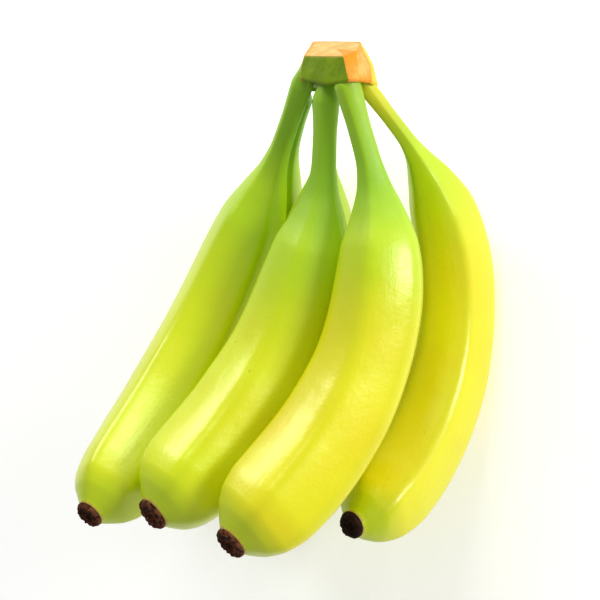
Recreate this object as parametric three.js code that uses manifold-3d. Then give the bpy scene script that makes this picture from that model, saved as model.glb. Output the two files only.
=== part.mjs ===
// A bunch of six bananas lying on its outer curve, in millimetres.
// +Z is up off the table, +Y runs along the bunch towards the crown, and -X is the side of the left banana.
// Three front bananas (the upper row) lie on three back ones (the lower row), whose bellies touch the table.
// The origin is on the table, under the middle of the bunch.
import * as THREE from "three";
import { mergeVertices } from "three/addons/utils/BufferGeometryUtils.js";
import Module from "manifold-3d";

const wasm = await Module();
wasm.setup();

// Sizes that every banana shares
const SIDES = 20; // facets round a banana, four to each of its five faces
const FACES = 5; // a banana is a rounded pentagon across
const RING_STEP = 8; // mm between the rings along a banana
const TIP_STEP = 2.5; // mm between the rings over the last of it
const TIP_LENGTH = 20; // mm of banana with the closer rings
const RIDGE_OUT = 1.035; // how far a ridge stands out, as a share of the local radius
const FACE_FLATNESS = 0.5; // 0 is a round section, 1 a true pentagon
const NECK_STRAIGHT = 0.12; // share of the length at the neck that doesn't bend
const BEND_EASE = 0.35; // 0 bends evenly, 1 bends mostly in the middle
const HOOK_SHARE = 0.1; // share of the length over which the tip hooks
// The plug of neck inside the crown: [mm before the root, share of the neck's radius]
const PLUG = [
  [7.5, 0.4],
  [4.5, 0.6],
];
const PLUG_LEAN = 0.5; // 0 runs on along the neck, more leans the plug towards +Y
const FLOWER_END = 2.4; // mm of dried brown tip
const GAP = 0.3; // mm between pieces that touch

// Radius along a banana: [share of the length, share of the full radius]
const PROFILE = [
  [0.0, 0.25],
  [0.03, 0.24],
  [0.08, 0.22],
  [0.14, 0.23],
  [0.19, 0.3],
  [0.25, 0.5],
  [0.32, 0.74],
  [0.42, 0.86],
  [0.55, 0.91],
  [0.68, 0.98],
  [0.79, 1.0],
  [0.87, 0.98],
  [0.92, 0.88],
  [0.952, 0.7],
  [0.972, 0.48],
  [0.985, 0.33],
  [1.0, 0.26],
];

// Each banana leaves the crown at its root. Its fan angle turns it from -Y towards +X, and its rise lifts it off
// level, both given at the neck and at the tip. The hook is added to the two angles at the very tip, the neck is a
// share of the shared neck's radius, and roll turns the five faces about the length.
const BANANAS = {
  front_left: {
    root: [24.8, 77, 72.3],
    fan: [-35, -7.1],
    rise: [-20, 54],
    hook: [-14, 3],
    length: 188,
    girth: 33,
    neck: 0.95,
    roll: 43,
  },
  front_middle: {
    root: [37, 72, 76.5],
    fan: [-11, -32.6],
    rise: [-14, 46],
    hook: [0, 9],
    length: 166.5,
    girth: 37,
    neck: 1,
    roll: 63,
  },
  front_right: {
    root: [48.3, 76, 82],
    fan: [11, -41],
    rise: [-13, 43],
    hook: [14, 10],
    length: 173,
    girth: 36,
    neck: 1,
    roll: 64,
  },
  back_right: {
    root: [48.5, 76, 70.7],
    fan: [8, -16],
    rise: [-54, 70],
    hook: [-38, 3],
    length: 202,
    girth: 32,
    neck: 0.78,
    roll: 34,
  },
  back_left: {
    root: [18, 72, 60.8],
    fan: [-46, -9],
    rise: [-38, 19],
    hook: [-10, 8],
    length: 181,
    girth: 27,
    neck: 1,
    roll: 64,
  },
  back_middle: {
    root: [29, 71, 65.3],
    fan: [-28, -15],
    rise: [-39, 22],
    hook: [-10, 8],
    length: 188,
    girth: 33,
    neck: 0.95,
    roll: 65,
  },
};
// The bellies of these reach just below the table's top and are flattened by it.
const ON_TABLE = ["back_right", "back_left", "back_middle"];

// The crown: a slanting block across the necks, cut at both ends and along its top. Each level has the same corners
// in order: near left, near middle, near right, right front, right, far right, far middle, far left.
const CROWN_LIP = [
  [27.5, 78, 78],
  [41, 75.6, 84],
  [52.5, 76.4, 88],
  [54.2, 76.6, 84.2],
  [54.2, 76.3, 76],
  [51, 75.5, 66],
  [34, 74, 58.5],
  [15.5, 75.5, 57],
];
const CROWN_WAIST = [
  [27.2, 81, 77.6],
  [40.6, 80, 83.4],
  [51.3, 80, 87.5],
  [53.2, 81.7, 83.2],
  [52.8, 82.5, 74.5],
  [50, 83, 67.5],
  [33.5, 83, 60.5],
  [16.2, 84, 57.2],
];
// The top cut's corners are x and z; its plane gives their y.
const CROWN_TOP = [
  [28.5, 77],
  [39.3, 82],
  [49.6, 86.5],
  [51.7, 81.7],
  [49.2, 74.5],
  [46.6, 70],
  [33, 63.5],
  [20.5, 58],
];
const CROWN_MIDDLE = [35.5, 71.5]; // x and z
const TOP_CUT = { y: 88.9, alongX: 0.1, alongZ: -0.37 };
const CORNER_ROUNDING = 1.4; // mm from a corner to where its rounding starts
const LIP_OVERHANG = 2.6; // mm that the lip stands out beyond the underside
const UNDERSIDE_RISE = 1; // mm that the underside lies above the lip

// Finishes
const SKIN = { color: 0xd9d62a, roughness: 0.42, metalness: 0 };
const CROWN_SKIN = { color: 0x9aa32c, roughness: 0.6, metalness: 0 };
const DRIED = { color: 0x4a2a1c, roughness: 0.9, metalness: 0 };

const radians = THREE.MathUtils.degToRad;

// A smooth curve through the profile's points, without overshoot between them
function radiusShare(u) {
  const last = PROFILE.length - 1;
  let k = 0;
  while (k < last - 1 && u > PROFILE[k + 1][0]) k += 1;
  const slope = (i) => {
    if (i < 0 || i >= last) return 0;
    return (PROFILE[i + 1][1] - PROFILE[i][1]) / (PROFILE[i + 1][0] - PROFILE[i][0]);
  };
  const tangent = (i) => {
    const before = slope(i - 1);
    const after = slope(i);
    return before * after > 0 ? (2 * before * after) / (before + after) : 0;
  };
  const [u0, r0] = PROFILE[k];
  const [u1, r1] = PROFILE[k + 1];
  const w = u1 - u0;
  const t = THREE.MathUtils.clamp((u - u0) / w, 0, 1);
  const h00 = 2 * t ** 3 - 3 * t ** 2 + 1;
  const h10 = t ** 3 - 2 * t ** 2 + t;
  const h01 = 3 * t ** 2 - 2 * t ** 3;
  const h11 = t ** 3 - t ** 2;
  return h00 * r0 + h10 * w * tangent(k) + h01 * r1 + h11 * w * tangent(k + 1);
}

// Radius of a banana in mm; its own neck share fades out over the shoulder
function radiusAt(banana, u) {
  const neck = THREE.MathUtils.lerp(banana.neck, 1, THREE.MathUtils.smoothstep(u, 0.14, 0.26));
  return (banana.girth / 2) * radiusShare(u) * neck;
}

// The frame at a share of the length: heading along the banana, side level across it, up square to both
function frameAt(banana, u) {
  const t = THREE.MathUtils.clamp((u - NECK_STRAIGHT) / (1 - NECK_STRAIGHT), 0, 1);
  const bent = (1 - BEND_EASE) * t + BEND_EASE * t * t * (3 - 2 * t);
  const hooked = THREE.MathUtils.clamp(1 + (u - 1) / HOOK_SHARE, 0, 1) ** 2;
  const yaw = radians(THREE.MathUtils.lerp(...banana.fan, bent) + banana.hook[0] * hooked);
  const pitch = radians(THREE.MathUtils.lerp(...banana.rise, bent) + banana.hook[1] * hooked);
  const heading = new THREE.Vector3(
    Math.sin(yaw) * Math.cos(pitch),
    -Math.cos(yaw) * Math.cos(pitch),
    Math.sin(pitch),
  );
  const side = new THREE.Vector3(Math.cos(yaw), Math.sin(yaw), 0);
  const up = new THREE.Vector3().crossVectors(side, heading);
  return { heading, side, up };
}

// The centre line, found by walking along the headings from the root in small steps
function centreLine(banana) {
  const steps = 400;
  const points = [new THREE.Vector3(...banana.root)];
  for (let i = 0; i < steps; i += 1) {
    const { heading } = frameAt(banana, (i + 0.5) / steps);
    points.push(points[i].clone().addScaledVector(heading, banana.length / steps));
  }
  const inward = frameAt(banana, 0).heading.negate().add(new THREE.Vector3(0, PLUG_LEAN, 0)).normalize();
  return (u) => {
    if (u < 0) return points[0].clone().addScaledVector(inward, -u * banana.length);
    const at = u * steps;
    const i = Math.min(Math.floor(at), steps - 1);
    return points[i].clone().lerp(points[i + 1], at - i);
  };
}

// Radius at an angle round the section: a pentagon whose ridges are at the roll angle and every 72 degrees on
function sectionRadius(radius, angle, roll) {
  const sector = (2 * Math.PI) / FACES;
  const turned = THREE.MathUtils.euclideanModulo(angle - roll, sector) - sector / 2;
  const pentagon = Math.cos(sector / 2) / Math.cos(turned);
  return radius * RIDGE_OUT * pentagon ** FACE_FLATNESS;
}

// One ring of points round the banana at a share of its length
function bananaRing(banana, line, u, radius) {
  const { side, up } = frameAt(banana, Math.max(u, 0));
  const centre = line(u);
  const roll = radians(banana.roll);
  return Array.from({ length: SIDES }, (_, i) => {
    const angle = roll + (2 * Math.PI * i) / SIDES;
    const r = sectionRadius(radius, angle, roll);
    return centre
      .clone()
      .addScaledVector(side, r * Math.cos(angle))
      .addScaledVector(up, r * Math.sin(angle));
  });
}

// A closed solid through rings of equally many points, with a flat fan over each end
function loft(rings) {
  const count = rings[0].length;
  const middle = (ring) => ring.reduce((sum, p) => sum.add(p), new THREE.Vector3()).divideScalar(ring.length);
  const points = rings.flat();
  const firstCap = points.push(middle(rings[0])) - 1;
  const lastCap = points.push(middle(rings[rings.length - 1])) - 1;
  const index = [];
  for (let i = 0; i < count; i += 1) {
    const next = (i + 1) % count;
    for (let k = 0; k + 1 < rings.length; k += 1) {
      const a = k * count;
      const b = a + count;
      index.push(a + i, b + i, b + next);
      index.push(a + i, b + next, a + next);
    }
    const end = (rings.length - 1) * count;
    index.push(firstCap, i, next);
    index.push(lastCap, end + next, end + i);
  }
  const geometry = new THREE.BufferGeometry().setFromPoints(points);
  geometry.setIndex(index);
  return facingOut(geometry);
}

// Turns every face round where the solid's volume comes out negative
function facingOut(geometry) {
  const at = geometry.getAttribute("position");
  const index = geometry.getIndex().array;
  const [a, b, c] = [new THREE.Vector3(), new THREE.Vector3(), new THREE.Vector3()];
  let volume = 0;
  for (let i = 0; i < index.length; i += 3) {
    a.fromBufferAttribute(at, index[i]);
    b.fromBufferAttribute(at, index[i + 1]);
    c.fromBufferAttribute(at, index[i + 2]);
    volume += a.dot(b.cross(c)) / 6;
  }
  if (volume < 0) index.reverse();
  return geometry;
}

// A share of the length for a place that many mm before the tip
const fromTip = (banana, mm) => 1 - mm / banana.length;

// The green and yellow skin of a banana, from inside the crown to the border of the dried tip
function skinSolid(banana, grow = 0) {
  const line = centreLine(banana);
  const end = fromTip(banana, FLOWER_END);
  const wide = fromTip(banana, TIP_LENGTH);
  const steps = Math.round((wide * banana.length) / RING_STEP);
  const closeSteps = Math.round(((end - wide) * banana.length) / TIP_STEP);
  const neck = radiusAt(banana, 0);
  const rings = PLUG.map(([mm, share]) => bananaRing(banana, line, -(mm + grow) / banana.length, neck * share + grow));
  for (let i = 0; i <= steps + closeSteps; i += 1) {
    const u = i < steps ? (wide * i) / steps : wide + ((end - wide) * (i - steps)) / closeSteps;
    rings.push(bananaRing(banana, line, u, radiusAt(banana, u) + grow));
  }
  return loft(rings);
}

// The dried flower end: a short stub with a sunk, uneven face
function flowerEndSolid(banana) {
  const line = centreLine(banana);
  const shares = [fromTip(banana, FLOWER_END - GAP), fromTip(banana, FLOWER_END / 2), 1];
  const rings = shares.map((u) => bananaRing(banana, line, u, radiusAt(banana, u)));
  const rim = bananaRing(banana, line, 1, radiusAt(banana, 1) * 0.7);
  const sunk = bananaRing(banana, line, fromTip(banana, 0.6), radiusAt(banana, 1) * 0.4);
  return loft([...rings, rim, sunk]);
}

// A ring through corners, each rounded by three points
function roundedRing(corners) {
  return corners.flatMap((corner, i) => {
    const before = corners[(i + corners.length - 1) % corners.length].clone().sub(corner);
    const after = corners[(i + 1) % corners.length].clone().sub(corner);
    const start = corner.clone().addScaledVector(before.normalize(), CORNER_ROUNDING);
    const end = corner.clone().addScaledVector(after.normalize(), CORNER_ROUNDING);
    const middle = corner.clone().multiplyScalar(2).add(start).add(end).divideScalar(4);
    return [start, middle, end];
  });
}

// Corners moved towards the crown's middle, and along Y
function drawnIn([x, y, z], inward, lift) {
  const toMiddle = new THREE.Vector2(CROWN_MIDDLE[0] - x, CROWN_MIDDLE[1] - z).normalize().multiplyScalar(inward);
  return new THREE.Vector3(x + toMiddle.x, y + lift, z + toMiddle.y);
}

function crownBlock() {
  const cut = (x, z) => {
    return TOP_CUT.y + TOP_CUT.alongX * (x - CROWN_MIDDLE[0]) + TOP_CUT.alongZ * (z - CROWN_MIDDLE[1]);
  };
  const levels = [
    CROWN_LIP.map((corner) => drawnIn(corner, LIP_OVERHANG, UNDERSIDE_RISE)),
    CROWN_LIP.map((corner) => drawnIn(corner, 0.8, 0)),
    CROWN_LIP.map((corner) => drawnIn(corner, 0, 0.8)),
    CROWN_WAIST.map((corner) => drawnIn(corner, 0, 0)),
    CROWN_TOP.map(([x, z]) => new THREE.Vector3(x, cut(x, z), z)),
  ];
  return loft(levels.map(roundedRing));
}

// Solids for joining and cutting, and back
function toSolid(geometry) {
  const bare = new THREE.BufferGeometry();
  bare.setAttribute("position", geometry.getAttribute("position"));
  bare.setIndex(geometry.getIndex());
  const merged = mergeVertices(bare, 1e-4);
  const mesh = new wasm.Mesh({
    numProp: 3,
    vertProperties: merged.getAttribute("position").array,
    triVerts: new Uint32Array(merged.getIndex().array),
  });
  return new wasm.Manifold(mesh);
}

function toGeometry(solid) {
  const mesh = solid.getMesh();
  const geometry = new THREE.BufferGeometry();
  geometry.setAttribute("position", new THREE.BufferAttribute(mesh.vertProperties, 3));
  geometry.setIndex(new THREE.BufferAttribute(mesh.triVerts, 1));
  geometry.computeVertexNormals();
  return geometry;
}

// The space under the table's top
function belowTable() {
  const size = 400;
  const box = new THREE.BoxGeometry(size, size, size);
  box.translate(0, 0, -size / 2);
  box.deleteAttribute("normal");
  box.deleteAttribute("uv");
  return toSolid(mergeVertices(box));
}

function addPiece(group, name, geometry, finish) {
  const mesh = new THREE.Mesh(geometry, new THREE.MeshStandardMaterial({ ...finish, flatShading: true }));
  mesh.name = name;
  group.add(mesh);
}

const bunch = new THREE.Group();
const table = belowTable();
let crown = toSolid(crownBlock());

for (const [place, banana] of Object.entries(BANANAS)) {
  let skin = toSolid(skinSolid(banana));
  if (ON_TABLE.includes(place)) skin = skin.subtract(table);
  crown = crown.subtract(toSolid(skinSolid(banana, GAP)));
  addPiece(bunch, `banana_${place}`, toGeometry(skin), SKIN);
  addPiece(bunch, `flower_end_${place}`, flowerEndSolid(banana), DRIED);
}
addPiece(bunch, "crown", toGeometry(crown), CROWN_SKIN);

export default bunch;
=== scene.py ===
"""A bunch of six green-yellow bananas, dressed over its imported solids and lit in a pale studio."""

import logging
import math
from collections.abc import Callable, Mapping, Sequence
from dataclasses import dataclass, field
from enum import Enum

import bmesh
import bpy
from mathutils import Matrix, Vector, noise


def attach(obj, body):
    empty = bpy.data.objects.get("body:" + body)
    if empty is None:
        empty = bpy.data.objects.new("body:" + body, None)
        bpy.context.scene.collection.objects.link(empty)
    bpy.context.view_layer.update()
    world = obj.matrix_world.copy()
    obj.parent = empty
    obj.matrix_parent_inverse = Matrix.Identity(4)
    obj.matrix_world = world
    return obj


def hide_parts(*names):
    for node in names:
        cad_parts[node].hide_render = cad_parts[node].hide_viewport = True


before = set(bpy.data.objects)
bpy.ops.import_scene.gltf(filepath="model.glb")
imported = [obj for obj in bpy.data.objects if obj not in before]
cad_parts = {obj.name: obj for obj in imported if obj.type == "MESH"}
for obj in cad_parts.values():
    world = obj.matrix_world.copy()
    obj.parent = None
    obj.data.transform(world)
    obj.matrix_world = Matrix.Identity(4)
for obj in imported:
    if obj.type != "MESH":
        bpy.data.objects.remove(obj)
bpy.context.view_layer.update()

log = logging.getLogger("bananas")

MM = 0.001
FACES_ROUND = 5
Colour = tuple[float, float, float, float]
Corner = tuple[float, float, float]


def rgb(red: float, green: float, blue: float) -> Colour:
    """Returns an opaque linear colour."""
    return (red, green, blue, 1.0)


WHITE = rgb(1.0, 1.0, 1.0)


def smooth(low: float, high: float, value: float) -> float:
    """Returns 0 below low, 1 above high and an eased share between them.

    Args:
        low: where the ease starts.
        high: where it ends.
        value: the place.

    Returns:
        A share from 0 to 1.
    """
    t = min(max((value - low) / (high - low), 0.0), 1.0)
    return t * t * (3.0 - 2.0 * t)


class Place(Enum):
    """Where a banana sits in the bunch."""

    FRONT_LEFT = "front_left"
    FRONT_MIDDLE = "front_middle"
    FRONT_RIGHT = "front_right"
    BACK_RIGHT = "back_right"
    BACK_LEFT = "back_left"
    BACK_MIDDLE = "back_middle"

    @property
    def on_table(self) -> bool:
        """Tells whether the banana is one of the back three, which lie on the table."""
        return self.value.startswith("back")


class Signal:
    """A float socket that Python's operators turn into Math nodes."""

    def __init__(self, paint: "Paint", socket: bpy.types.NodeSocket) -> None:
        """Keeps the tree that the socket belongs to."""
        self.paint = paint
        self.socket = socket

    def _math(self, operation: str, *values: "Signal | float") -> "Signal":
        """Returns the result of a Math node.

        Args:
            operation: the Math node's operation.
            values: its inputs in order.

        Returns:
            The node's output.
        """
        node = self.paint.node("ShaderNodeMath", {"operation": operation}, dict(enumerate(values)))
        return Signal(self.paint, node.outputs[0])

    def __add__(self, other: "Signal | float") -> "Signal":
        """Adds."""
        return self._math("ADD", self, other)

    def __radd__(self, other: float) -> "Signal":
        """Adds, with the number first."""
        return self._math("ADD", other, self)

    def __sub__(self, other: "Signal | float") -> "Signal":
        """Subtracts."""
        return self._math("SUBTRACT", self, other)

    def __rsub__(self, other: float) -> "Signal":
        """Subtracts from a number."""
        return self._math("SUBTRACT", other, self)

    def __mul__(self, other: "Signal | float") -> "Signal":
        """Multiplies."""
        return self._math("MULTIPLY", self, other)

    def __rmul__(self, other: float) -> "Signal":
        """Multiplies, with the number first."""
        return self._math("MULTIPLY", other, self)

    def between(self, low: float, high: float) -> "Signal":
        """Returns an eased 0 to 1 as the value goes from low to high.

        Args:
            low: the value that gives 0.
            high: the value that gives 1.

        Returns:
            The share from 0 to 1.
        """
        settings = {"interpolation_type": "SMOOTHSTEP"}
        node = self.paint.node("ShaderNodeMapRange", settings, {0: self, 1: low, 2: high, 3: 0.0, 4: 1.0})
        return Signal(self.paint, node.outputs[0])


class Paint:
    """The node tree of one material, with a Principled shader at its end."""

    def __init__(self, name: str) -> None:
        """Makes the material.

        Args:
            name: the material's name.
        """
        self.material = bpy.data.materials.new(name)
        self.material.use_nodes = True
        self.tree = self.material.node_tree
        self.shader = self.tree.nodes["Principled BSDF"]

    def node(
        self,
        kind: str,
        settings: Mapping[str, object] | None = None,
        inputs: Mapping[int | str, object] | None = None,
    ) -> bpy.types.Node:
        """Adds a node.

        Args:
            kind: the node's type.
            settings: its own settings; "stops" are a colour ramp's places and colours.
            inputs: values, sockets or signals by socket number or name.

        Returns:
            The new node.
        """
        made = self.tree.nodes.new(kind)
        for key, value in (settings or {}).items():
            if key == "stops":
                self._fill_ramp(made.color_ramp, value)
            else:
                setattr(made, key, value)
        for key, value in (inputs or {}).items():
            self.feed(made.inputs[key], value)
        return made

    @staticmethod
    def _fill_ramp(ramp: bpy.types.ColorRamp, stops: Sequence[tuple[float, Colour]]) -> None:
        """Sets a colour ramp's stops.

        Args:
            ramp: the ramp, which starts with two stops.
            stops: each stop's place and colour, in order of place.
        """
        for spare in range(len(stops) - len(ramp.elements)):
            ramp.elements.new((spare + 1) / (len(stops) + 1))
        for element, (place, colour) in zip(ramp.elements, stops):
            element.position = place
            element.color = colour

    def feed(self, socket: bpy.types.NodeSocket, value: object) -> None:
        """Links a signal or socket, or sets a plain value.

        Args:
            socket: the input to feed.
            value: a signal, an output socket or a constant.
        """
        if isinstance(value, Signal):
            self.tree.links.new(value.socket, socket)
        elif isinstance(value, bpy.types.NodeSocket):
            self.tree.links.new(value, socket)
        else:
            socket.default_value = value

    def signal(self, socket: bpy.types.NodeSocket) -> Signal:
        """Returns the socket as a signal."""
        return Signal(self, socket)

    def attribute(self, name: str) -> Signal:
        """Returns a float attribute of the piece's mesh."""
        return self.signal(self.node("ShaderNodeAttribute", {"attribute_name": name}).outputs["Fac"])

    def position(self) -> bpy.types.NodeSocket:
        """Returns the place on the piece, in metres."""
        return self.node("ShaderNodeTexCoord").outputs["Object"]

    def unrolled(self) -> bpy.types.NodeSocket:
        """Returns the peel's own coordinates: round it in X and Y, along it in Z, in metres."""
        return self.node("ShaderNodeAttribute", {"attribute_name": "peel"}).outputs["Vector"]

    def stretched(
        self, vector: bpy.types.NodeSocket, scale: tuple[float, float, float]
    ) -> bpy.types.NodeSocket:
        """Returns the vector scaled along each axis."""
        return self.node("ShaderNodeMapping", {}, {"Vector": vector, "Scale": scale}).outputs[0]

    def cloudy(self, vector: bpy.types.NodeSocket, scale: float, detail: float = 3.0) -> Signal:
        """Returns noise from 0 to 1 about 0.5.

        Args:
            vector: the coordinates.
            scale: how many waves to the metre.
            detail: octaves.

        Returns:
            The noise.
        """
        inputs = {"Vector": vector, "Scale": scale, "Detail": detail}
        return self.signal(self.node("ShaderNodeTexNoise", {}, inputs).outputs[0])

    def cells(self, vector: bpy.types.NodeSocket, scale: float) -> Signal:
        """Returns the distance to the nearest of scattered points, in cells."""
        inputs = {"Vector": vector, "Scale": scale}
        return self.signal(self.node("ShaderNodeTexVoronoi", {}, inputs).outputs[0])

    def ramp(self, value: Signal, stops: Sequence[tuple[float, Colour]]) -> bpy.types.NodeSocket:
        """Returns the ramp's colour at the value."""
        return self.node("ShaderNodeValToRGB", {"stops": stops}, {0: value}).outputs[0]

    def mixed(self, share: Signal | float, first: object, second: object) -> bpy.types.NodeSocket:
        """Returns the first colour mixed with a share of the second."""
        settings = {"data_type": "RGBA", "clamp_factor": True}
        return self.node("ShaderNodeMix", settings, {0: share, 6: first, 7: second}).outputs[2]

    def bumped(self, height: Signal, depth: float) -> bpy.types.NodeSocket:
        """Returns a normal from a height of 0 to 1 over a depth in metres."""
        inputs = {"Height": height, "Distance": depth, "Strength": 1.0}
        return self.node("ShaderNodeBump", {}, inputs).outputs[0]


@dataclass(frozen=True)
class PeelFinish:
    """The waxy peel: green at the neck and tip, yellow between, with soft streaks and a few freckles.

    A scale is how many waves or cells of a pattern go to the metre.
    """

    neck: Colour = rgb(0.26, 0.50, 0.001)
    shoulder: Colour = rgb(0.45, 0.66, 0.001)
    belly: Colour = rgb(0.72, 0.79, 0.001)
    ripe: Colour = rgb(0.77, 0.63, 0.001)
    tip: Colour = rgb(0.45, 0.60, 0.001)
    seam: Colour = rgb(0.36, 0.48, 0.002)
    freckle: Colour = rgb(0.33, 0.24, 0.03)
    border: Colour = rgb(0.52, 0.33, 0.08)
    roughness: float = 0.31
    shine: float = 0.8
    shine_tint: Colour = rgb(1.0, 1.0, 0.95)
    relief_depth: float = 0.0003
    drift_scale: float = 22.0
    patch_scale: float = 34.0
    freckle_scale: float = 150.0
    freckled_area_scale: float = 60.0
    relief_scale: float = 120.0
    fine_scale: float = 900.0
    streak_scale: float = 420.0
    streak_stretch: tuple[float, float, float] = (1.0, 1.0, 0.12)

    def _ripened(self, paint: Paint, wavering: Signal, streak: Signal) -> bpy.types.NodeSocket:
        """Colours the peel from the green neck to the ripe belly.

        Args:
            paint: the material.
            wavering: the share of the length, with an uneven edge.
            streak: fine streaks along the peel, about 0.

        Returns:
            The colour.
        """
        stops = (
            (0.0, self.neck),
            (0.13, self.neck),
            (0.24, self.shoulder),
            (0.30, self.shoulder),
            (0.54, self.belly),
            (0.92, self.belly),
        )
        green = paint.attribute("green")
        body = wavering.between(0.27, 0.60)
        patch = paint.cloudy(paint.position(), self.patch_scale, 2.0).between(0.42, 0.66)
        ripening = wavering.between(0.16, 0.45) * paint.attribute("ripe")
        skin = paint.ramp(wavering, stops)
        skin = paint.mixed(ripening, skin, self.ripe)
        skin = paint.mixed(body * patch * (1.0 - green) * 0.5, skin, self.ripe)
        skin = paint.mixed(body * green * 0.45, skin, self.shoulder)
        skin = paint.mixed(paint.attribute("gold") * 0.85, skin, self.ripe)
        skin = paint.mixed(paint.attribute("ridge").between(0.60, 1.0) * 0.12, skin, self.seam)
        return paint.mixed(streak.between(0.12, 0.40) * 0.14, skin, self.shoulder)

    def _marked(
        self, paint: Paint, skin: bpy.types.NodeSocket, drift: Signal, streak: Signal
    ) -> bpy.types.NodeSocket:
        """Adds the green tip, a few freckles and the brown border of the dried end.

        Args:
            paint: the material.
            skin: the colour so far.
            drift: broad clouds, about 0.
            streak: fine streaks along the peel, about 0.

        Returns:
            The colour.
        """
        place = paint.position()
        to_tip = paint.attribute("to_tip")
        near_tip = 1.0 - (to_tip + drift * 0.012).between(0.0015, 0.014)
        spots = 1.0 - paint.cells(place, self.freckle_scale).between(0.03, 0.075)
        few = paint.cloudy(place, self.freckled_area_scale, 1.0).between(0.60, 0.68)
        rim = 1.0 - (to_tip + streak * 0.002).between(0.0002, 0.0009)
        skin = paint.mixed(near_tip * 0.8, skin, self.tip)
        skin = paint.mixed(spots * few * 0.5, skin, self.freckle)
        return paint.mixed(rim * 0.85, skin, self.border)

    def material(self) -> bpy.types.Material:
        """Makes the peel's material.

        Returns:
            The material.
        """
        paint = Paint("peel")
        place = paint.position()
        drift = paint.cloudy(place, self.drift_scale) - 0.5
        lengthwise = paint.stretched(paint.unrolled(), self.streak_stretch)
        streak = paint.cloudy(lengthwise, self.streak_scale) - 0.5
        wavering = paint.attribute("along") + drift * 0.12 + streak * 0.03
        skin = self._marked(paint, self._ripened(paint, wavering, streak), drift, streak)
        fine = paint.cloudy(place, self.fine_scale, 2.0)
        matt_neck = (1.0 - wavering.between(0.16, 0.34)) * 0.18
        roughness = self.roughness + matt_neck + (fine - 0.5) * 0.10 + drift * 0.10
        relief = paint.cloudy(place, self.relief_scale, 3.0) * 0.6 + (streak + 0.5) * 0.25 + fine * 0.15
        paint.feed(paint.shader.inputs["Base Color"], skin)
        paint.feed(paint.shader.inputs["Roughness"], roughness)
        paint.feed(paint.shader.inputs["Normal"], paint.bumped(relief, self.relief_depth))
        paint.feed(paint.shader.inputs["Specular IOR Level"], self.shine)
        paint.feed(paint.shader.inputs["Specular Tint"], self.shine_tint)
        return paint.material


@dataclass(frozen=True)
class DriedFinish:
    """The dead flower end: dark brown fibres with paler broken edges."""

    dark: Colour = rgb(0.010, 0.004, 0.003)
    brown: Colour = rgb(0.11, 0.030, 0.008)
    pale: Colour = rgb(0.26, 0.12, 0.06)
    shine: float = 0.2
    relief_depth: float = 0.0008
    lump_scale: float = 620.0
    fibre_scale: float = 1500.0
    rim_scale: float = 420.0

    def material(self) -> bpy.types.Material:
        """Makes the dried end's material.

        Returns:
            The material.
        """
        paint = Paint("dried_end")
        place = paint.position()
        lumps = paint.cloudy(place, self.lump_scale, 4.0)
        fibres = paint.cloudy(paint.stretched(place, (0.35, 1.0, 1.0)), self.fibre_scale, 3.0)
        frayed = fibres.between(0.56, 0.68) * lumps.between(0.42, 0.60)
        broken = paint.attribute("rim") * paint.cloudy(place, self.rim_scale, 1.0).between(0.45, 0.62)
        colour = paint.mixed(lumps.between(0.36, 0.60), self.dark, self.brown)
        colour = paint.mixed(frayed * 0.75, colour, self.pale)
        colour = paint.mixed(broken * 0.45, colour, self.pale)
        colour = paint.mixed(paint.attribute("burnt"), colour, self.dark)
        relief = lumps * 0.6 + fibres * 0.4
        paint.feed(paint.shader.inputs["Base Color"], colour)
        paint.feed(paint.shader.inputs["Roughness"], 0.62 + lumps * 0.25)
        paint.feed(paint.shader.inputs["Normal"], paint.bumped(relief, self.relief_depth))
        paint.feed(paint.shader.inputs["Specular IOR Level"], self.shine)
        return paint.material


@dataclass(frozen=True)
class CrownSkinFinish:
    """The green outside of the crown, browner at its cut edges and yellow where the right neck joins."""

    green: Colour = rgb(0.17, 0.27, 0.001)
    light: Colour = rgb(0.22, 0.33, 0.001)
    brown: Colour = rgb(0.42, 0.25, 0.04)
    yellow: Colour = rgb(0.76, 0.58, 0.01)
    shine: float = 0.2
    relief_depth: float = 0.0003
    cloud_scale: float = 130.0
    relief_scale: float = 420.0

    def material(self) -> bpy.types.Material:
        """Makes the crown skin's material.

        Returns:
            The material.
        """
        paint = Paint("crown_skin")
        place = paint.position()
        cloud = paint.cloudy(place, self.cloud_scale)
        relief = paint.cloudy(place, self.relief_scale, 4.0)
        at_edge = (paint.attribute("edge") + (cloud - 0.5) * 0.4).between(0.80, 1.0)
        bare = 1.0 - paint.attribute("skinned").between(0.2, 0.9)
        colour = paint.mixed(cloud.between(0.38, 0.66), self.green, self.light)
        colour = paint.mixed(paint.attribute("golden"), colour, self.yellow)
        colour = paint.mixed((at_edge + bare) * 0.6, colour, self.brown)
        paint.feed(paint.shader.inputs["Base Color"], colour)
        paint.feed(paint.shader.inputs["Roughness"], 0.42 + cloud * 0.15)
        paint.feed(paint.shader.inputs["Normal"], paint.bumped(relief, self.relief_depth))
        paint.feed(paint.shader.inputs["Specular IOR Level"], self.shine)
        return paint.material


class Grain(Enum):
    """Which way the fibres of a cut face run, as the scale of the noise along X, Y and Z."""

    ALONG_ROW = (0.18, 1.0, 1.4)
    ALONG_NECKS = (1.0, 0.16, 1.0)


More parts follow.
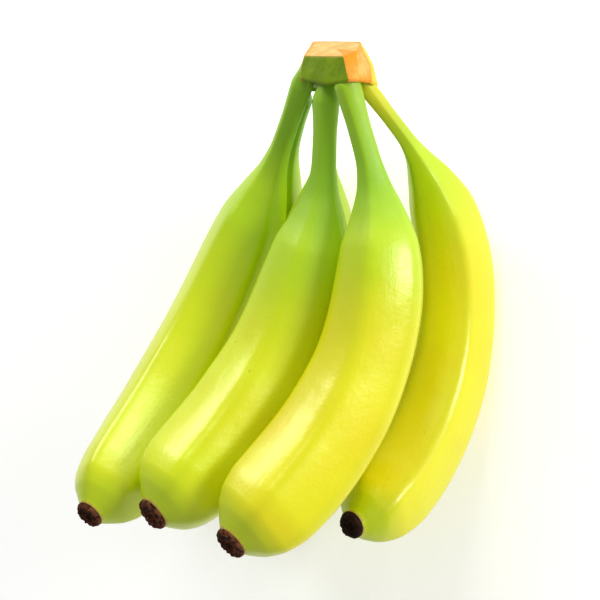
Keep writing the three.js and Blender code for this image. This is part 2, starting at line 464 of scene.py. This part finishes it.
@dataclass(frozen=True)
class CutFinish:
    """A cut face of the crown: pale damp tissue with fibres, turning orange in patches and at the rim."""

    grain: Grain
    pale: Colour
    peach: Colour
    orange: Colour = rgb(0.85, 0.31, 0.02)
    fibre: Colour = rgb(0.60, 0.32, 0.08)
    shine: float = 0.2
    relief_depth: float = 0.0005
    cloud_scale: float = 170.0
    fibre_scale: float = 900.0
    patch_scale: float = 110.0

    def material(self) -> bpy.types.Material:
        """Makes the cut tissue's material.

        Returns:
            The material.
        """
        paint = Paint(f"cut_{self.grain.name.lower()}")
        place = paint.position()
        cloud = paint.cloudy(place, self.cloud_scale, 3.0)
        fibres = paint.cloudy(paint.stretched(place, self.grain.value), self.fibre_scale, 3.0)
        turned = paint.attribute("edge") * 0.5 + paint.cloudy(place, self.patch_scale, 2.0)
        colour = paint.mixed(cloud.between(0.40, 0.60), self.pale, self.peach)
        colour = paint.mixed(fibres.between(0.56, 0.70) * 0.45, colour, self.fibre)
        colour = paint.mixed(turned.between(0.62, 0.84) * 0.65, colour, self.orange)
        colour = paint.mixed(paint.attribute("warm"), colour, self.orange)
        paint.feed(paint.shader.inputs["Base Color"], colour)
        paint.feed(paint.shader.inputs["Roughness"], 0.5 + cloud * 0.2)
        paint.feed(paint.shader.inputs["Normal"], paint.bumped(fibres, self.relief_depth))
        paint.feed(paint.shader.inputs["Specular IOR Level"], self.shine)
        return paint.material


@dataclass(frozen=True)
class Profile:
    """Radius along a banana, as shares of the length and of the full radius."""

    knots: tuple[tuple[float, float], ...] = (
        (0.0, 0.25),
        (0.03, 0.24),
        (0.08, 0.22),
        (0.14, 0.23),
        (0.19, 0.30),
        (0.25, 0.50),
        (0.32, 0.74),
        (0.42, 0.86),
        (0.55, 0.91),
        (0.68, 0.98),
        (0.79, 1.00),
        (0.87, 0.98),
        (0.92, 0.88),
        (0.952, 0.70),
        (0.972, 0.48),
        (0.985, 0.33),
        (1.0, 0.26),
    )

    def _slope(self, i: int) -> float:
        """Returns the slope of the stretch after knot i, or 0 outside the profile.

        Args:
            i: the knot's number.

        Returns:
            The change of radius share over length share.
        """
        if i < 0 or i + 1 >= len(self.knots):
            return 0.0
        (u0, r0), (u1, r1) = self.knots[i], self.knots[i + 1]
        return (r1 - r0) / (u1 - u0)

    def _tangent(self, i: int) -> float:
        """Returns the curve's slope at knot i, flat where the profile turns."""
        before, after = self._slope(i - 1), self._slope(i)
        return 2.0 * before * after / (before + after) if before * after > 0 else 0.0

    def share(self, u: float) -> float:
        """Returns the radius as a share of the full one.

        Args:
            u: share of the length, from the neck.

        Returns:
            The share of the full radius.
        """
        k = max(i for i, (at, _) in enumerate(self.knots[:-1]) if at <= max(u, 0.0))
        (u0, r0), (u1, r1) = self.knots[k], self.knots[k + 1]
        w = u1 - u0
        t = min(max((u - u0) / w, 0.0), 1.0)
        rising = 3 * t**2 - 2 * t**3
        start = w * self._tangent(k) * (t**3 - 2 * t**2 + t)
        end = w * self._tangent(k + 1) * (t**3 - t**2)
        return (1 - rising) * r0 + rising * r1 + start + end


@dataclass
class Banana:
    """One banana: its neck, its bent five-faced body and its dried flower end.

    The sizes are those of the solid: mm and degrees, from the crown to the tip. Each pair of fan and rise is
    the heading at the crown and at the tip, and hook is what the last stretch adds to both. The field neck
    scales the neck alone. The shares green to burnt are for the colour: how green the body stays, how ripe
    the neck is, how ripe the body is, how far the green neck reaches down and how dark the dried end is.
    """

    place: Place
    root: tuple[float, float, float]
    fan: tuple[float, float]
    rise: tuple[float, float]
    hook: tuple[float, float]
    length: float
    girth: float
    roll: float
    neck: float = 1.0
    green: float = 0.0
    gold: float = 0.0
    ripe: float = 0.0
    unripe: float = 0.0
    burnt: float = 0.0
    profile: Profile = field(default_factory=Profile)
    straight: float = 0.12
    ease: float = 0.35
    hook_share: float = 0.1
    ridge_wander: tuple[float, ...] = (0.05, -0.06, 0.04, 0.0, -0.13)
    face_power: int = 12
    face_depth: float = 0.687
    face_radius: float = 0.931
    round_radius: float = 0.05
    plug: tuple[tuple[float, float], ...] = ((7.5, 0.4), (4.5, 0.6))
    plug_lean: float = 0.5
    flower_end: float = 2.4
    flower_overlap: float = 0.8
    flower_sides: int = 96
    tuft_height: float = 0.30
    tuft_push: float = 0.62
    tuft_spread: float = 2.4
    tip_length: float = 16.0
    sides: int = 100
    rings: int = 170
    tip_rings: int = 36
    steps: int = 400

    def axes_at(self, u: float) -> tuple[Vector, Vector, Vector]:
        """Works out the directions at a place on the centre line.

        Args:
            u: share of the length, from the neck.

        Returns:
            The heading, the side and up, as unit vectors.
        """
        t = min(max((u - self.straight) / (1.0 - self.straight), 0.0), 1.0)
        bent = (1.0 - self.ease) * t + self.ease * t * t * (3.0 - 2.0 * t)
        hooked = min(max(1.0 + (u - 1.0) / self.hook_share, 0.0), 1.0) ** 2
        yaw = math.radians(self.fan[0] + (self.fan[1] - self.fan[0]) * bent + self.hook[0] * hooked)
        pitch = math.radians(self.rise[0] + (self.rise[1] - self.rise[0]) * bent + self.hook[1] * hooked)
        heading = Vector(
            (math.sin(yaw) * math.cos(pitch), -math.cos(yaw) * math.cos(pitch), math.sin(pitch))
        )
        side = Vector((math.cos(yaw), math.sin(yaw), 0.0))
        return heading, side, side.cross(heading)

    def centre_line(self) -> Callable[[float], Vector]:
        """Walks the centre line in short steps.

        Returns:
            A function from the share of the length to the centre there, in mm.
        """
        points = [Vector(self.root)]
        inward = (Vector((0.0, self.plug_lean, 0.0)) - self.axes_at(0.0)[0]).normalized()
        for i in range(self.steps):
            heading, _, _ = self.axes_at((i + 0.5) / self.steps)
            points.append(points[-1] + heading * (self.length / self.steps))

        def at(u: float) -> Vector:
            """Finds the centre.

            Args:
                u: share of the length, or less than 0 inside the crown.

            Returns:
                The centre in mm.
            """
            if u < 0.0:
                return points[0] - inward * (u * self.length)
            i = min(int(u * self.steps), self.steps - 1)
            return points[i].lerp(points[i + 1], u * self.steps - i)

        return at

    def radius_at(self, u: float) -> float:
        """Returns the radius in mm; the neck's own share fades out over the shoulder."""
        neck = self.neck + (1.0 - self.neck) * smooth(0.14, 0.26, u)
        return self.girth / 2.0 * self.profile.share(u) * neck

    def ridge_angles(self) -> list[float]:
        """Returns the angles of the five ridges, each a little off its even place."""
        start = math.radians(self.roll)
        return [start + math.tau * k / FACES_ROUND + self.ridge_wander[k] for k in range(FACES_ROUND)]

    def section(self, radius: float, angle: float, softness: float) -> tuple[float, float]:
        """Returns the radius of the rounded pentagon at an angle, and how near that is to a ridge.

        Args:
            radius: the local radius of the banana.
            angle: round the section.
            softness: 0 for the full five faces, 1 for a round section.

        Returns:
            The radius, and a share that is 1 on a ridge and 0 in the middle of a face.
        """
        ridges = sorted(a % math.tau for a in self.ridge_angles())
        total = 0.0
        for low, high in zip(ridges, ridges[1:] + [ridges[0] + math.tau]):
            facing = math.cos(angle - (low + high) / 2.0)
            total += max(facing, 0.0) ** self.face_power
        ratio = total ** (-1.0 / self.face_power)
        nearest = min(abs(math.remainder(angle - a, math.tau)) for a in ridges)
        shape = self.face_radius * ratio ** (self.face_depth * (1.0 - softness))
        return radius * (shape + self.round_radius * softness), 1.0 - nearest / (math.pi / FACES_ROUND)

    def ring_point(
        self, centre: Vector, axes: tuple[Vector, Vector, Vector], radius: float, angle: float
    ) -> Vector:
        """Returns a point of the section in metres."""
        _, side, up = axes
        return (centre + (side * math.cos(angle) + up * math.sin(angle)) * radius) * MM

    def unevenness(self, point: Vector) -> float:
        """Returns a gentle swelling or hollow at a point, in mm."""
        return 0.28 * noise.noise(point * 32.0) + 0.10 * noise.noise(point * 95.0)

    @staticmethod
    def roundness(u: float) -> float:
        """Returns how far the five faces fade out at a share of the length."""
        return 0.45 * (1.0 - smooth(0.0, 0.10, u)) + 0.8 * smooth(0.92, 1.0, u)

    def ring_shares(self) -> list[float]:
        """Places the peel's rings, closer together at the blunt tip.

        Returns:
            Shares of the length; those of the plug inside the crown come first and are less than 0.
        """
        end = 1.0 - self.flower_end / self.length
        wide = 1.0 - self.tip_length / self.length
        shares = [-mm / self.length for mm, _ in self.plug]
        shares += [wide * i / self.rings for i in range(self.rings)]
        shares += [wide + (end - wide) * i / self.tip_rings for i in range(self.tip_rings + 1)]
        return shares

    def build_peel(self) -> bpy.types.Object:
        """Builds the peel, from inside the crown to the border of the dried end.

        Returns:
            The peel, whose attributes say where on the banana each place is.
        """
        line = self.centre_line()
        full = self.girth / 2.0 * MM
        shares = self.ring_shares()
        mesh = bmesh.new()
        names = ("along", "ridge", "green", "gold", "ripe", "to_tip")
        along, ridge, green, gold, ripe, to_tip = (mesh.verts.layers.float.new(name) for name in names)
        peel = mesh.verts.layers.float_vector.new("peel")
        ring = first_ring(mesh, self.sides)
        angles = [math.tau * i / self.sides for i in range(self.sides)]
        for number, u in enumerate(shares):
            if number:
                ring = next_ring(mesh, ring)
            axes = self.axes_at(max(u, 0.0))
            centre = line(u)
            radius = self.radius_at(u) * (self.plug[number][1] if number < len(self.plug) else 1.0)
            swelling = smooth(0.10, 0.35, u) * (1.0 - smooth(0.93, 1.0, u))
            for vert, angle in zip(ring, angles):
                r, near = self.section(radius, angle, self.roundness(u))
                bare = self.ring_point(centre, axes, r, angle)
                vert.co = self.ring_point(centre, axes, r + self.unevenness(bare) * swelling, angle)
                vert[along] = max(u - self.unripe, 0.0)
                vert[ridge] = near
                vert[green] = self.green
                vert[gold] = self.gold * (1.0 - smooth(0.0, 0.22, u))
                vert[ripe] = self.ripe
                vert[to_tip] = (shares[-1] - u) * self.length * MM
                vert[peel] = (math.cos(angle) * full, math.sin(angle) * full, u * self.length * MM)
        close_ring(mesh, ring)
        if self.place.on_table:
            for vert in mesh.verts:
                vert.co.z = max(vert.co.z, 0.0)
        return finish_piece(mesh, f"peel_{self.place.value}")

    def flower_rows(self) -> tuple[tuple[float, float, float], ...]:
        """Lays out the dried end's rings, from inside the peel over the broken rim to the sunk middle.

        Returns:
            For each ring the mm before the tip, the share of the border's radius and how ragged it is.
        """
        border = self.flower_end + self.flower_overlap
        return (
            (border, 0.80, 0.0),
            (border - 0.7, 0.97, 0.1),
            (border - 1.0, 1.0, 0.3),
            (border - 1.5, 0.99, 0.5),
            (border - 2.0, 0.95, 0.7),
            (0.7, 0.88, 0.9),
            (0.4, 0.79, 1.0),
            (0.3, 0.69, 1.1),
            (0.4, 0.58, 1.2),
            (0.7, 0.46, 1.2),
            (0.9, 0.34, 1.3),
            (0.8, 0.22, 1.4),
            (0.5, 0.10, 1.4),
        )

    def build_flower_end(self) -> bpy.types.Object:
        """Builds the dried end: a rough, low disc whose middle is sunk inside a broken rim.

        Returns:
            The dried end.
        """
        line = self.centre_line()
        base = self.radius_at(1.0 - self.flower_end / self.length)
        mesh = bmesh.new()
        rim = mesh.verts.layers.float.new("rim")
        burnt = mesh.verts.layers.float.new("burnt")
        ring = first_ring(mesh, self.flower_sides)
        angles = [math.tau * i / self.flower_sides for i in range(self.flower_sides)]
        seed = Vector((3.7, 1.3, 9.1)) * (list(Place).index(self.place) + 1)
        for number, (back, share, ragged) in enumerate(self.flower_rows()):
            if number:
                ring = next_ring(mesh, ring)
            u = 1.0 - back / self.length
            axes = self.axes_at(u)
            centre = line(u)
            for vert, angle in zip(ring, angles):
                spoke = Vector((math.cos(angle), math.sin(angle), share)) * self.tuft_spread + seed
                tuft = noise.noise(spoke) + 0.6 * noise.noise(spoke * 3.1)
                r = base * share + self.tuft_height * ragged * tuft * share
                push = axes[0] * (self.tuft_push * ragged * noise.noise(spoke * 1.9 + seed))
                vert.co = self.ring_point(centre + push, axes, r, angle)
                vert[rim] = smooth(0.86, 1.0, share)
                vert[burnt] = self.burnt
        close_ring(mesh, ring)
        return finish_piece(mesh, f"dried_end_{self.place.value}")

    def dress(self, peel: bpy.types.Material, dried: bpy.types.Material) -> None:
        """Builds both pieces in place of their solids.

        Args:
            peel: the peel's material.
            dried: the dried end's material.
        """
        skin = self.build_peel()
        wear(skin, peel, f"banana_{self.place.value}")
        stub = self.build_flower_end()
        wear(stub, dried, f"flower_end_{self.place.value}")


@dataclass
class Crown:
    """The cut block of stem tissue that joins the necks, with the corners of its solid in mm.

    Each level has the same corners in order: near left, near middle, near right, right front, right, far
    right, far middle, far left. A side has the number of the corner that it starts at. The near and far sides
    wear skin, and the two ends and the top are cut.
    """

    lip: tuple[Corner, ...] = (
        (27.5, 78, 78),
        (41, 75.6, 84),
        (52.5, 76.4, 88),
        (54.2, 76.6, 84.2),
        (54.2, 76.3, 76),
        (51, 75.5, 66),
        (34, 74, 58.5),
        (15.5, 75.5, 57),
    )
    waist: tuple[Corner, ...] = (
        (27.2, 81, 77.6),
        (40.6, 80, 83.4),
        (51.3, 80, 87.5),
        (53.2, 81.7, 83.2),
        (52.8, 82.5, 74.5),
        (50, 83, 67.5),
        (33.5, 83, 60.5),
        (16.2, 84, 57.2),
    )
    top: tuple[tuple[float, float], ...] = (
        (28.5, 77),
        (39.3, 82),
        (49.6, 86.5),
        (51.7, 81.7),
        (49.2, 74.5),
        (46.6, 70),
        (33, 63.5),
        (20.5, 58),
    )
    middle: tuple[float, float] = (35.5, 71.5)
    top_y: float = 88.9
    top_slope: tuple[float, float] = (0.1, -0.37)
    skin_sides: tuple[int, ...] = (0, 1, 4, 5, 6)
    golden_side: int = 4
    cut_front_side: int = 2
    cut_right_side: int = 3
    corner_rounding: float = 1.0
    lip_rounding: float = 0.8
    overhang: float = 2.6
    underside_rise: float = 1.0
    per_corner: int = 5
    per_side: int = 9
    rows_between: tuple[int, ...] = (3, 3, 7, 7)
    top_rings: tuple[float, ...] = (0.95, 0.88, 0.78, 0.65, 0.50, 0.34, 0.18)
    top_roughness: float = 0.22

    def drawn_in(self, corner: Corner, inward: float, lift: float) -> Vector:
        """Moves a corner towards the crown's middle, and along Y.

        Args:
            corner: the corner.
            inward: how far towards the middle, in mm.
            lift: how far along Y, in mm.

        Returns:
            The moved corner.
        """
        x, y, z = corner
        across = Vector((self.middle[0] - x, 0.0, self.middle[1] - z)).normalized() * inward
        return Vector((x, y + lift, z)) + across

    def cut_height(self, x: float, z: float) -> float:
        """Returns y on the sloping top cut."""
        across, deep = x - self.middle[0], z - self.middle[1]
        return self.top_y + self.top_slope[0] * across + self.top_slope[1] * deep

    def levels(self) -> list[list[Vector]]:
        """Lists the corners of every level, from the underside to the top cut.

        Returns:
            A list of corners for each level.
        """
        return [
            [self.drawn_in(corner, self.overhang, self.underside_rise) for corner in self.lip],
            [self.drawn_in(corner, self.lip_rounding, 0.0) for corner in self.lip],
            [self.drawn_in(corner, 0.0, self.lip_rounding) for corner in self.lip],
            [self.drawn_in(corner, 0.0, 0.0) for corner in self.waist],
            [Vector((x, self.cut_height(x, z), z)) for x, z in self.top],
        ]

    def rounded(self, corners: Sequence[Vector]) -> list[tuple[Vector, int]]:
        """Returns points round the corners, each with the number of the side that it lies on.

        Args:
            corners: the loop's corners.

        Returns:
            Pairs of a point and its side; side 0 runs from the first corner to the second.
        """
        points = []
        for i, corner in enumerate(corners):
            following = corners[(i + 1) % len(corners)]
            before = (corners[i - 1] - corner).normalized() * self.corner_rounding
            after = (following - corner).normalized() * self.corner_rounding
            for k in range(self.per_corner):
                t = k / (self.per_corner - 1)
                side = i if t >= 0.5 else (i - 1) % len(corners)
                points.append((corner + before * (1.0 - t) ** 2 + after * t**2, side))
            start, stop = corner + after, following - after
            points += [(start.lerp(stop, k / self.per_side), i) for k in range(1, self.per_side)]
        return points

    def warmth(self, side: int, height: float) -> float:
        """Says how orange a cut end has turned.

        Args:
            side: the side's number.
            height: share of the crown's height.

        Returns:
            The share of orange.
        """
        if side == self.cut_front_side:
            return 0.35 + 0.55 * smooth(0.55, 0.90, height)
        if side == self.cut_right_side:
            return 0.85 * (1.0 - smooth(0.30, 0.50, height))
        return 0.0

    def rows(self) -> list[list[tuple[Vector, int]]]:
        """Lists the rings of points from the underside to the top cut.

        Returns:
            The rings, each of pairs of a point and its side.
        """
        levels = [self.rounded(corners) for corners in self.levels()]
        rows = []
        for low, high, steps in zip(levels, levels[1:], self.rows_between):
            for k in range(steps):
                rows.append([(a.lerp(b, k / steps), side) for (a, side), (b, _) in zip(low, high)])
        return [*rows, levels[-1]]

    def raise_sides(self, mesh: bmesh.types.BMesh) -> list[bmesh.types.BMVert]:
        """Builds the underside and the sides, whose cut ends take the second material.

        Args:
            mesh: the mesh to build in.

        Returns:
            The ring at the rim of the top cut.
        """
        names = ("edge", "golden", "skinned", "warm")
        edge, golden, skinned, warm = (mesh.verts.layers.float.new(name) for name in names)
        rows = self.rows()
        ring = first_ring(mesh, len(rows[0]))
        for number, row in enumerate(rows):
            if number:
                ring = next_ring(mesh, ring)
            for vert, (point, side) in zip(ring, row):
                out = Vector((point.x - self.middle[0], 0.0, point.z - self.middle[1])).normalized()
                lump = 0.35 * noise.noise(point * 0.22) + 0.12 * noise.noise(point * 0.8)
                vert.co = (point + out * lump) * MM
                vert[edge] = smooth(len(rows) - 4.0, len(rows) - 1.0, number)
                vert[golden] = 1.0 if side == self.golden_side else 0.0
                vert[skinned] = 1.0 if side in self.skin_sides else 0.0
                vert[warm] = self.warmth(side, number / (len(rows) - 1))
        for face in mesh.faces:
            if len(face.verts) == 4 and sum(v[skinned] for v in face.verts) < 3.0:
                face.material_index = 1
        return ring

    def close_top(self, mesh: bmesh.types.BMesh, ring: list[bmesh.types.BMVert]) -> None:
        """Builds the slightly rough top cut in the third material.

        Args:
            mesh: the mesh with the sides.
            ring: the ring at the rim.
        """
        edge = mesh.verts.layers.float["edge"]
        outline = [v.co.copy() for v in ring]
        centre = sum(outline, Vector()) / len(outline)
        sides = set(mesh.faces)
        for share in self.top_rings:
            ring = next_ring(mesh, ring)
            for vert, rim in zip(ring, outline):
                vert.co = centre + (rim - centre) * share
                vert.co.y += self.top_roughness * MM * noise.noise(vert.co * 300.0)
                vert[edge] = smooth(0.84, 1.0, share)
        close_ring(mesh, ring)
        for face in mesh.faces:
            if face not in sides:
                face.material_index = 2

    def build(self) -> bpy.types.Object:
        """Builds the crown with its skin, its end cuts and its top cut as three materials.

        Returns:
            The crown.
        """
        mesh = bmesh.new()
        self.close_top(mesh, self.raise_sides(mesh))
        return finish_piece(mesh, "crown_block")

    def dress(self, skin: bpy.types.Material, ends: bpy.types.Material, top: bpy.types.Material) -> None:
        """Builds the crown in place of its solid.

        Args:
            skin: the skin's material.
            ends: that of the two cut ends.
            top: that of the top cut.
        """
        block = self.build()
        wear(block, skin, "crown")
        block.data.materials.append(ends)
        block.data.materials.append(top)


@dataclass(frozen=True)
class Panel:
    """A square soft light, which hangs right, up and back of the bunch as the camera sees it.

    The size is the side of the square in metres.
    """

    name: str
    toward: tuple[float, float, float]
    size: float
    watts: float


@dataclass
class Studio:
    """The pale floor, the soft lights and the camera, in mm and degrees."""

    target: tuple[float, float, float] = (10.0, -8.0, 35.0)
    azimuth: float = 100.6
    elevation: float = 58.6
    roll: float = -99.3
    distance: float = 616.0
    lens: float = 100.0
    shift: tuple[float, float] = (-0.037, 0.035)
    floor_colour: Colour = rgb(0.93, 0.93, 0.92)
    floor_shade: Colour = rgb(0.93 * 0.97, 0.93 * 0.97, 0.92 * 0.97)
    floor_reach: float = 3000.0
    floor_glow: float = 0.25
    panels: tuple[Panel, ...] = (
        Panel("left_panel", (-0.75, 0.65, 0.06), 0.31, 2.0),
        Panel("upper_panel", (-0.22, 0.74, 0.63), 0.35, 2.3),
        Panel("right_panel", (0.62, 0.16, 0.77), 0.27, 3.6),
    )
    panel_distance: float = 900.0
    air_strength: float = 0.45
    exposure: float = 0.15
    gamma: float = 0.88

    def axes(self) -> tuple[Vector, Vector, Vector]:
        """Works out the camera's directions in the row frame.

        Returns:
            Right, up and back, as unit vectors.
        """
        azimuth, elevation = math.radians(self.azimuth), math.radians(self.elevation)
        back = Vector(
            (
                math.sin(azimuth) * math.cos(elevation),
                -math.cos(azimuth) * math.cos(elevation),
                math.sin(elevation),
            )
        )
        level = Vector((0, 0, 1)).cross(back).normalized()
        upright = back.cross(level)
        roll = math.radians(self.roll)
        right = level * math.cos(roll) + upright * math.sin(roll)
        up = upright * math.cos(roll) - level * math.sin(roll)
        return right, up, back

    def build_camera(self) -> None:
        """Sets the photograph's viewing angle."""
        right, up, back = self.axes()
        data = bpy.data.cameras.new("camera")
        data.lens = self.lens
        data.shift_x, data.shift_y = self.shift
        data.clip_start = 0.05
        camera = bpy.data.objects.new("camera", data)
        turn = Matrix((right, up, back)).transposed().to_4x4()
        camera.matrix_world = Matrix.Translation((Vector(self.target) + back * self.distance) * MM) @ turn
        bpy.context.scene.collection.objects.link(camera)
        bpy.context.scene.camera = camera

    def build_floor(self) -> None:
        """Lays the pale floor under the bunch."""
        mesh = bmesh.new()
        bmesh.ops.create_grid(mesh, x_segments=2, y_segments=2, size=self.floor_reach * MM)
        floor = finish_piece(mesh, "floor")
        paint = Paint("floor_paint")
        shade = paint.cloudy(paint.position(), 6.0) * 0.01
        colour = paint.mixed(shade, self.floor_colour, self.floor_shade)
        paint.feed(paint.shader.inputs["Base Color"], colour)
        paint.feed(paint.shader.inputs["Roughness"], 0.6)
        paint.feed(paint.shader.inputs["Emission Color"], WHITE)
        paint.feed(paint.shader.inputs["Emission Strength"], self.floor_glow)
        floor.data.materials.append(paint.material)

    def build_panel(self, panel: Panel) -> None:
        """Hangs a soft light that faces the bunch.

        Args:
            panel: the light.
        """
        right, up, back = self.axes()
        away = (right * panel.toward[0] + up * panel.toward[1] + back * panel.toward[2]).normalized()
        data = bpy.data.lights.new(panel.name, "AREA")
        data.size = panel.size
        data.energy = panel.watts
        light = bpy.data.objects.new(panel.name, data)
        light.location = Vector(self.target) * MM + away * (self.panel_distance * MM)
        light.rotation_euler = away.to_track_quat("Z", "Y").to_euler()
        bpy.context.scene.collection.objects.link(light)

    def build_air(self) -> None:
        """Fills the studio with even white light."""
        world = bpy.data.worlds.new("studio_air")
        world.use_nodes = True
        background = world.node_tree.nodes["Background"]
        background.inputs["Color"].default_value = WHITE
        background.inputs["Strength"].default_value = self.air_strength
        bpy.context.scene.world = world

    def build(self) -> None:
        """Builds the whole studio, with the photograph's contrast."""
        self.build_camera()
        self.build_floor()
        for panel in self.panels:
            self.build_panel(panel)
        self.build_air()
        view = bpy.context.scene.view_settings
        view.view_transform = "Standard"
        view.exposure = self.exposure
        view.gamma = self.gamma


def first_ring(mesh: bmesh.types.BMesh, count: int) -> list[bmesh.types.BMVert]:
    """Starts a piece with one closed ring, whose places are set later.

    Args:
        mesh: the empty mesh.
        count: how many vertices go round.

    Returns:
        The ring's vertices in order round it.
    """
    made = bmesh.ops.create_circle(mesh, cap_ends=True, segments=count, radius=MM)
    return list(made["verts"])


def ring_edges(
    mesh: bmesh.types.BMesh, ring: Sequence[bmesh.types.BMVert]
) -> list[bmesh.types.BMEdge]:
    """Returns the edges that join a ring's neighbours."""
    return [mesh.edges.get((a, b)) for a, b in zip(ring, [*ring[1:], ring[0]])]


def next_ring(
    mesh: bmesh.types.BMesh, ring: Sequence[bmesh.types.BMVert]
) -> list[bmesh.types.BMVert]:
    """Extrudes a ring of vertices.

    Args:
        mesh: the mesh that holds the ring.
        ring: its vertices in order round it.

    Returns:
        The new vertices, each joined to the old one of the same place in the list.
    """
    made = bmesh.ops.extrude_edge_only(mesh, edges=ring_edges(mesh, ring))["geom"]
    new = {v for v in made if isinstance(v, bmesh.types.BMVert)}
    return [next(e.other_vert(v) for e in v.link_edges if e.other_vert(v) in new) for v in ring]


def close_ring(mesh: bmesh.types.BMesh, ring: Sequence[bmesh.types.BMVert]) -> None:
    """Closes the last ring with one face along its edges.

    Args:
        mesh: the mesh that holds the ring.
        ring: its vertices in order round it.
    """
    bmesh.ops.holes_fill(mesh, edges=ring_edges(mesh, ring))


def finish_piece(mesh: bmesh.types.BMesh, name: str) -> bpy.types.Object:
    """Turns a bmesh into a smooth-shaded object at the origin.

    Args:
        mesh: the shape, which is freed.
        name: the object's name.

    Returns:
        The new object.
    """
    bmesh.ops.recalc_face_normals(mesh, faces=mesh.faces)
    for face in mesh.faces:
        face.smooth = len(face.verts) == 4
    data = bpy.data.meshes.new(name)
    mesh.to_mesh(data)
    mesh.free()
    made = bpy.data.objects.new(name, data)
    bpy.context.scene.collection.objects.link(made)
    return made


def wear(piece: bpy.types.Object, material: bpy.types.Material, node: str) -> None:
    """Gives a piece its material and lets it stand for a solid.

    Args:
        piece: the dressed piece.
        material: its finish.
        node: the solid that it replaces.
    """
    piece.data.materials.append(material)
    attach(piece, "root")
    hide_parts(node)
    log.info("%s: %d faces", piece.name, len(piece.data.polygons))


def bananas() -> list[Banana]:
    """Lists the six bananas with the sizes of their solids.

    Returns:
        The bananas, front row first.
    """
    return [
        Banana(
            Place.FRONT_LEFT,
            root=(24.8, 77, 72.3),
            fan=(-35, -7.1),
            rise=(-20, 54),
            hook=(-14, 3),
            length=188,
            girth=33,
            roll=43,
            neck=0.95,
            green=0.5,
            unripe=-0.02,
        ),
        Banana(
            Place.FRONT_MIDDLE,
            root=(37, 72, 76.5),
            fan=(-11, -32.6),
            rise=(-14, 46),
            hook=(0, 9),
            length=166.5,
            girth=37,
            roll=63,
            green=0.4,
            ripe=0.1,
            unripe=0.06,
        ),
        Banana(
            Place.FRONT_RIGHT,
            root=(48.3, 76, 82),
            fan=(11, -41),
            rise=(-13, 43),
            hook=(14, 10),
            length=173,
            girth=36,
            roll=64,
            gold=0.1,
            ripe=0.5,
            unripe=0.05,
        ),
        Banana(
            Place.BACK_RIGHT,
            root=(48.5, 76, 70.7),
            fan=(8, -16),
            rise=(-54, 70),
            hook=(-38, 3),
            length=202,
            girth=32,
            roll=34,
            neck=0.78,
            gold=0.8,
            ripe=0.5,
            unripe=-0.06,
            burnt=0.8,
        ),
        Banana(
            Place.BACK_LEFT,
            root=(18, 72, 60.8),
            fan=(-46, -9),
            rise=(-38, 19),
            hook=(-10, 8),
            length=181,
            girth=27,
            roll=64,
            green=0.3,
            ripe=0.2,
        ),
        Banana(
            Place.BACK_MIDDLE,
            root=(29, 71, 65.3),
            fan=(-28, -15),
            rise=(-39, 22),
            hook=(-10, 8),
            length=188,
            girth=33,
            roll=65,
            neck=0.95,
            green=0.2,
            ripe=0.3,
        ),
    ]


def main() -> None:
    """Builds the bunch and the studio."""
    logging.basicConfig(level=logging.INFO, format="%(name)s %(message)s")
    peel = PeelFinish().material()
    dried = DriedFinish().material()
    for banana in bananas():
        banana.dress(peel, dried)
    ends = CutFinish(Grain.ALONG_NECKS, rgb(0.89, 0.46, 0.13), rgb(0.84, 0.34, 0.07)).material()
    top = CutFinish(Grain.ALONG_ROW, rgb(0.74, 0.54, 0.20), rgb(0.70, 0.46, 0.14)).material()
    Crown().dress(CrownSkinFinish().material(), ends, top)
    Studio().build()


if __name__ == "__main__":
    main()
